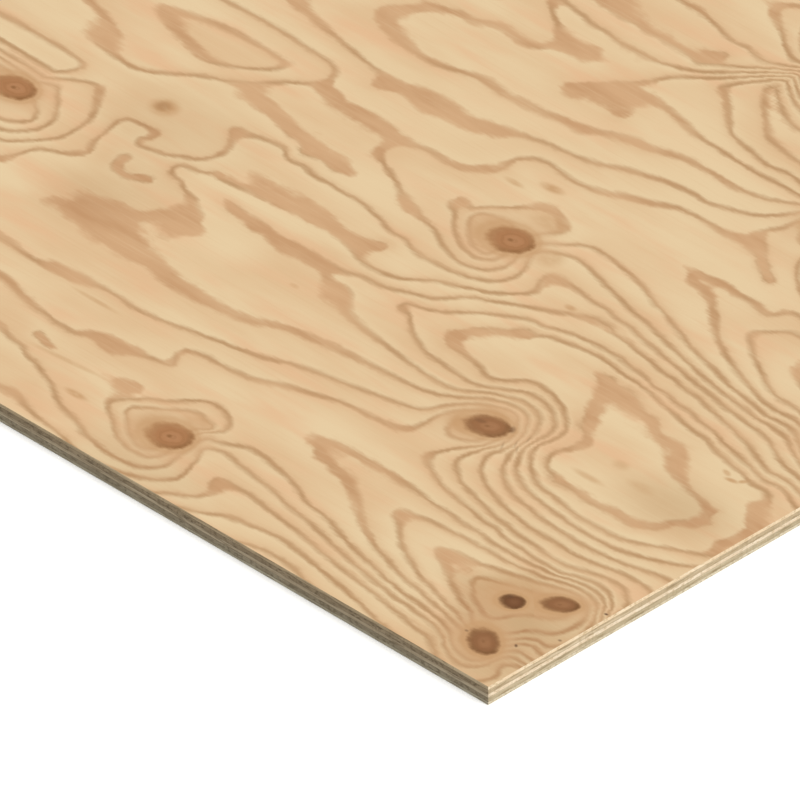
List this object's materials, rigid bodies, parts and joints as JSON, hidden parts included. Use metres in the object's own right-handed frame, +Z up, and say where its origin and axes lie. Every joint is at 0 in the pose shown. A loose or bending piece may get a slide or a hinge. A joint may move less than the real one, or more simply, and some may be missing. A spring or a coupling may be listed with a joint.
{
  "type": "plywood sheet",
  "caption": "Flat rectangular softwood plywood sheet of cross-laminated veneers with a knotty sanded face and square-sawn edges that show the plies.",
  "frame": {"origin": "centre of the sheet's underside, on the floor it lies on", "axes": "+X along the long edges and the face grain, +Y across the sheet, +Z up through the plies to the face veneer"},
  "size_m": [2.44, 1.22, 0.018],
  "materials": {
    "face_veneer": "matte",
    "crossband": "matte",
    "centre_veneer": "matte",
    "back_veneer": "matte"
  },
  "bodies": {
    "root": {"face_veneer": "face_veneer", "upper_crossband": "crossband", "centre_veneer": "centre_veneer", "lower_crossband": "crossband", "back_veneer": "back_veneer"}
  },
  "joints": []
}
